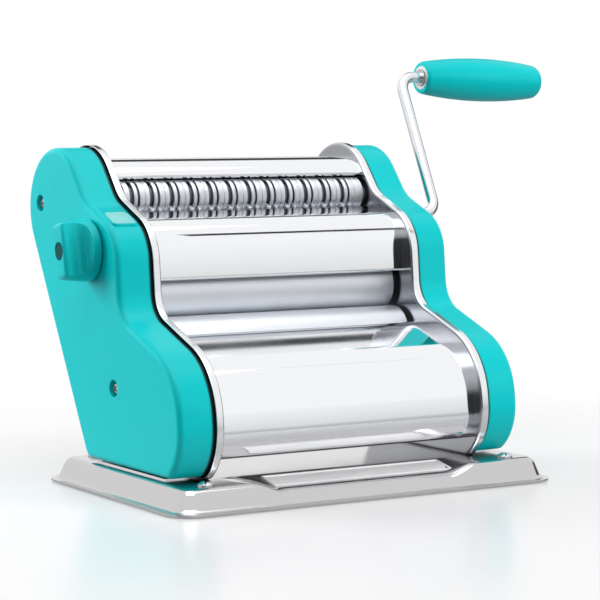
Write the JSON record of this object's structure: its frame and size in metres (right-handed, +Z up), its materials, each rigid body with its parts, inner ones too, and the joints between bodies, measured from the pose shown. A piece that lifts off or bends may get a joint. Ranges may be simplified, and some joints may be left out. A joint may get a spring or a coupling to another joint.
{
  "type": "hand-cranked pasta roller",
  "caption": "Hand-cranked pasta roller on a pressed steel tray, with smooth rollers, a gap dial, geared ring cutters, moulded side covers and a crank with a free-turning grip.",
  "frame": {"origin": "centre of the pressed tray's outline, on the table plane", "axes": "+X to the right, towards the crank; +Y to the back; +Z up"},
  "size_m": [0.4561, 0.2632, 0.3043],
  "materials": {
    "chrome_sheet": "bright chrome plate",
    "tray_steel": "plated pressed sheet",
    "roller_steel": "ground",
    "teal_plastic": "gloss",
    "black_rubber": "matt",
    "fastener_steel": "zinc plated",
    "gear_steel": "machined",
    "bush_plastic": "matt",
    "drum_plastic": "satin",
    "pale_plastic": "satin",
    "window_clear": "clear"
  },
  "bodies": {
    "frame": {"base_tray": "tray_steel", "rubber_feet": "black_rubber", "foot_screws": "fastener_steel", "base_bolts": "fastener_steel", "right_plate": "chrome_sheet", "left_plate": "chrome_sheet", "tie_rods": "fastener_steel", "tie_nuts": "fastener_steel", "lower_roller_bushes": "bush_plastic", "cutter_bushes": "bush_plastic", "dial_bushes": "bush_plastic", "drive_shaft_bush": "bush_plastic", "top_cover": "chrome_sheet", "upper_front_cover": "chrome_sheet", "lower_front_cover": "chrome_sheet", "rear_slide": "roller_steel", "upper_scraper": "roller_steel", "lower_scraper": "roller_steel", "front_comb": "roller_steel", "rear_comb": "roller_steel", "right_cover": "teal_plastic", "right_standoffs": "fastener_steel", "right_cover_screws": "fastener_steel", "left_cover": "teal_plastic", "left_standoffs": "fastener_steel", "left_cover_screws": "fastener_steel", "dial_window": "window_clear", "idler_studs": "fastener_steel", "idler_clips": "fastener_steel"},
    "crank": {"drive_shaft": "fastener_steel", "drive_pinion": "gear_steel", "crank_rod": "chrome_sheet", "grip_clip": "fastener_steel"},
    "grip": {"crank_grip": "teal_plastic", "grip_ferrule": "pale_plastic"},
    "lower_roller": {"lower_roller": "roller_steel", "lower_roller_drive_gear": "gear_steel", "lower_roller_gear": "gear_steel"},
    "carriage": {"right_slider": "fastener_steel", "left_slider": "fastener_steel", "upper_roller_bushes": "bush_plastic"},
    "upper_roller": {"upper_roller": "roller_steel", "upper_roller_gear": "gear_steel"},
    "upper_idler": {"upper_idler": "gear_steel"},
    "lower_idler": {"lower_idler": "gear_steel"},
    "front_cutter": {"front_cutter": "roller_steel", "front_cutter_gear": "gear_steel"},
    "rear_cutter": {"rear_cutter": "roller_steel", "rear_cutter_gear": "gear_steel"},
    "dial": {"dial_shaft": "fastener_steel", "left_scroll": "fastener_steel", "right_scroll": "fastener_steel", "number_drum": "drum_plastic", "dial_screw": "fastener_steel", "dial_spring": "fastener_steel"},
    "knob": {"dial_knob": "teal_plastic"}
  },
  "joints": [
    {"name": "crank_turn", "type": "hinge", "parent": "frame", "child": "crank", "pos_m": [0, 0.06748, 0.18368], "axis": [1, 0, 0], "continuous": true},
    {"name": "grip_spin", "type": "hinge", "parent": "crank", "child": "grip", "pos_m": [0.164, 0.11822, 0.2891], "axis": [0.9997, 0, -0.0262], "continuous": true},
    {"name": "lower_roller_turn", "type": "hinge", "parent": "frame", "child": "lower_roller", "pos_m": [0, 0.0285, 0.0985], "axis": [1, 0, 0], "continuous": true},
    {"name": "upper_idler_turn", "type": "hinge", "parent": "frame", "child": "upper_idler", "pos_m": [0, 0.07701, 0.15581], "axis": [1, 0, 0], "continuous": true},
    {"name": "lower_idler_turn", "type": "hinge", "parent": "frame", "child": "lower_idler", "pos_m": [0, 0.07403, 0.11507], "axis": [1, 0, 0], "continuous": true},
    {"name": "front_cutter_turn", "type": "hinge", "parent": "frame", "child": "front_cutter", "pos_m": [0, 0.0836, 0.1998], "axis": [1, 0, 0], "continuous": true},
    {"name": "rear_cutter_turn", "type": "hinge", "parent": "frame", "child": "rear_cutter", "pos_m": [0, 0.10562, 0.2057], "axis": [1, 0, 0], "continuous": true},
    {"name": "dial_turn", "type": "hinge", "parent": "frame", "child": "dial", "pos_m": [0, 0.054, 0.1653], "axis": [1, 0, 0], "range_deg": [0, 240]},
    {"name": "carriage_slide", "type": "slide", "parent": "frame", "child": "carriage", "axis": [0, 0.5, 0.866], "range_m": [0, 0.0032]},
    {"name": "upper_roller_turn", "type": "hinge", "parent": "carriage", "child": "upper_roller", "pos_m": [0, 0.04875, 0.13357], "axis": [1, 0, 0], "continuous": true},
    {"name": "knob_pull", "type": "slide", "parent": "dial", "child": "knob", "axis": [-1, 0, 0], "range_m": [0, 0.005], "stiffness_N_per_m": 400, "deforming": ["dial_spring"]}
  ],
  "couplings": [
    {"joint": "front_cutter_turn", "follows": "crank_turn", "ratio": -1},
    {"joint": "rear_cutter_turn", "follows": "crank_turn", "ratio": 1},
    {"joint": "upper_idler_turn", "follows": "crank_turn", "ratio": -0.63158},
    {"joint": "lower_idler_turn", "follows": "crank_turn", "ratio": 0.5},
    {"joint": "lower_roller_turn", "follows": "crank_turn", "ratio": -0.44444},
    {"joint": "upper_roller_turn", "follows": "crank_turn", "ratio": 0.44444},
    {"joint": "dial_turn", "follows": "carriage_slide", "rad_per_m": 1309}
  ]
}
